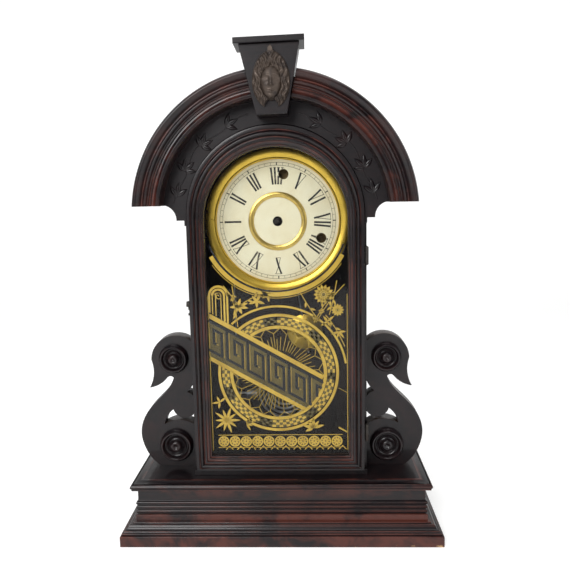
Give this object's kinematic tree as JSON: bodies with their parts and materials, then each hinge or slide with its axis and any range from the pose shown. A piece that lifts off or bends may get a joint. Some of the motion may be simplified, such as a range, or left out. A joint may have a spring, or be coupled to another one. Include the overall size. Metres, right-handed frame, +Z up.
{
  "type": "shelf clock",
  "caption": "Wooden shelf clock with an arched glazed door, a moulded hood and keystone, scroll brackets, a reeded plinth and a pendulum movement with strike.",
  "frame": {"origin": "middle of the rest face, on the surface the clock stands on", "axes": "+Z up, the longest way; -Y towards the viewer of the dial; +X to the viewer's right"},
  "size_m": [0.3394, 0.146, 0.512],
  "materials": {
    "ebonised": "worn gloss varnish over dark stain",
    "case_wood": "thin dark stain",
    "bronze": "dark bronzed, worn on the high places",
    "glass": "clear",
    "brass_fittings": "tarnished",
    "dial": "matt paper on tin",
    "brass_movement": "satin",
    "steel": "satin",
    "cast_iron": "matt"
  },
  "bodies": {
    "clock": {"foot_moulding_front": "ebonised", "foot_moulding_sides": "ebonised", "plinth_front": "ebonised", "plinth_boards": "case_wood", "plinth_top": "ebonised", "case_left": "case_wood", "case_right": "case_wood", "case_arch": "case_wood", "case_back": "case_wood", "front_sill": "ebonised", "arch_panel": "ebonised", "hood_moulding": "ebonised", "keystone": "ebonised", "keystone_cap": "ebonised", "mask": "bronze", "mask_nail": "bronze", "scroll_left": "ebonised", "scroll_right": "ebonised", "rosettes": "ebonised", "case_hinge_leaves": "brass_fittings", "hinge_pins": "brass_fittings", "hook_screw": "brass_fittings", "dial_pan": "dial", "dial_bezel": "brass_fittings", "dial_centre_ring": "brass_fittings", "dial_blocks": "case_wood", "front_plate": "brass_movement", "back_plate": "brass_movement", "plate_pillars": "brass_movement", "movement_screws": "steel", "time_mainspring": "steel", "strike_mainspring": "steel", "suspension_post": "steel", "gong_coil": "steel", "gong_block": "cast_iron"},
    "door": {"door_frame": "ebonised", "door_glass": "glass", "glazing_beads": "case_wood", "door_hinge_leaves": "brass_fittings", "latch_stud": "brass_fittings"},
    "hook": {"hook_latch": "brass_fittings"},
    "pendulum": {"suspension_spring": "steel", "pendulum_rod": "steel", "pendulum_bob": "brass_fittings", "rating_nut": "brass_fittings"},
    "verge": {"verge_and_crutch": "steel"},
    "time_great": {"time_great_wheel": "brass_movement"},
    "time_winder": {"time_winding_arbor": "steel"},
    "second": {"second_wheel": "brass_movement"},
    "centre": {"centre_wheel": "brass_movement"},
    "third": {"third_wheel": "brass_movement"},
    "escape": {"escape_wheel": "brass_movement"},
    "minute": {"minute_wheel": "brass_movement"},
    "hour": {"hour_wheel": "brass_movement"},
    "strike_great": {"strike_great_wheel": "brass_movement"},
    "strike_winder": {"strike_winding_arbor": "steel"},
    "pin": {"pin_wheel": "brass_movement"},
    "warning": {"warning_wheel": "brass_movement"},
    "fly": {"fly": "brass_movement"},
    "hammer": {"hammer": "steel"}
  },
  "joints": [
    {"name": "door_swing", "type": "hinge", "parent": "clock", "child": "door", "pos_m": [0.0922, -0.036, 0.208], "axis": [0, 0, 1], "range_deg": [0, 88]},
    {"name": "hook_turn", "type": "hinge", "parent": "clock", "child": "hook", "pos_m": [-0.094, -0.0226, 0.252], "axis": [-1, 0, 0], "range_deg": [0, 90]},
    {"name": "pendulum_swing", "type": "hinge", "parent": "clock", "child": "pendulum", "pos_m": [0, 0.054, 0.3846], "axis": [0, 1, 0], "range_deg": [0, 17.68]},
    {"name": "verge_swing", "type": "hinge", "parent": "clock", "child": "verge", "pos_m": [0, 0.029, 0.3846], "axis": [0, 1, 0], "range_deg": [0, 17.68]},
    {"name": "hammer_lift", "type": "hinge", "parent": "clock", "child": "hammer", "pos_m": [-0.053, 0.029, 0.332], "axis": [0, 1, 0], "range_deg": [0, 6]},
    {"name": "escape_turn", "type": "hinge", "parent": "clock", "child": "escape", "pos_m": [0, 0.032, 0.3626], "axis": [0, 1, 0], "continuous": true},
    {"name": "third_turn", "type": "hinge", "parent": "clock", "child": "third", "pos_m": [0.01816, 0.032, 0.35366], "axis": [0, 1, 0], "continuous": true},
    {"name": "centre_turn", "type": "hinge", "parent": "clock", "child": "centre", "pos_m": [0, 0.029, 0.337], "axis": [0, 1, 0], "continuous": true},
    {"name": "second_turn", "type": "hinge", "parent": "clock", "child": "second", "pos_m": [0.01137, 0.029, 0.31417], "axis": [0, 1, 0], "continuous": true},
    {"name": "time_great_turn", "type": "hinge", "parent": "clock", "child": "time_great", "pos_m": [0.0391, 0.016, 0.3064], "axis": [0, 1, 0], "continuous": true},
    {"name": "time_winding", "type": "hinge", "parent": "time_great", "child": "time_winder", "pos_m": [0.0391, 0.029, 0.3064], "axis": [0, 1, 0], "continuous": true},
    {"name": "minute_turn", "type": "hinge", "parent": "clock", "child": "minute", "pos_m": [-0.01579, 0.007, 0.33125], "axis": [0, 1, 0], "continuous": true},
    {"name": "hour_turn", "type": "hinge", "parent": "clock", "child": "hour", "pos_m": [0, 0.001, 0.337], "axis": [0, 1, 0], "continuous": true},
    {"name": "fly_turn", "type": "hinge", "parent": "clock", "child": "fly", "pos_m": [-0.02318, 0.025, 0.36503], "axis": [0, 1, 0], "continuous": true},
    {"name": "warning_turn", "type": "hinge", "parent": "clock", "child": "warning", "pos_m": [-0.02999, 0.032, 0.35223], "axis": [0, 1, 0], "continuous": true},
    {"name": "pin_turn", "type": "hinge", "parent": "clock", "child": "pin", "pos_m": [-0.02831, 0.029, 0.3331], "axis": [0, 1, 0], "continuous": true},
    {"name": "strike_great_turn", "type": "hinge", "parent": "clock", "child": "strike_great", "pos_m": [-0.0391, 0.016, 0.3064], "axis": [0, 1, 0], "continuous": true},
    {"name": "strike_winding", "type": "hinge", "parent": "strike_great", "child": "strike_winder", "pos_m": [-0.0391, 0.029, 0.3064], "axis": [0, 1, 0], "continuous": true}
  ],
  "couplings": [
    {"joint": "verge_swing", "follows": "pendulum_swing", "ratio": 1},
    {"joint": "third_turn", "follows": "escape_turn", "ratio": -0.095238},
    {"joint": "centre_turn", "follows": "escape_turn", "ratio": 0.0095238},
    {"joint": "second_turn", "follows": "escape_turn", "ratio": -0.0031746},
    {"joint": "time_great_turn", "follows": "escape_turn", "ratio": 0.00058789},
    {"joint": "minute_turn", "follows": "escape_turn", "ratio": -0.0031746},
    {"joint": "hour_turn", "follows": "escape_turn", "ratio": 0.00079365},
    {"joint": "warning_turn", "follows": "fly_turn", "ratio": -0.16},
    {"joint": "pin_turn", "follows": "fly_turn", "ratio": 0.022857},
    {"joint": "strike_great_turn", "follows": "fly_turn", "ratio": -0.0042328}
  ]
}
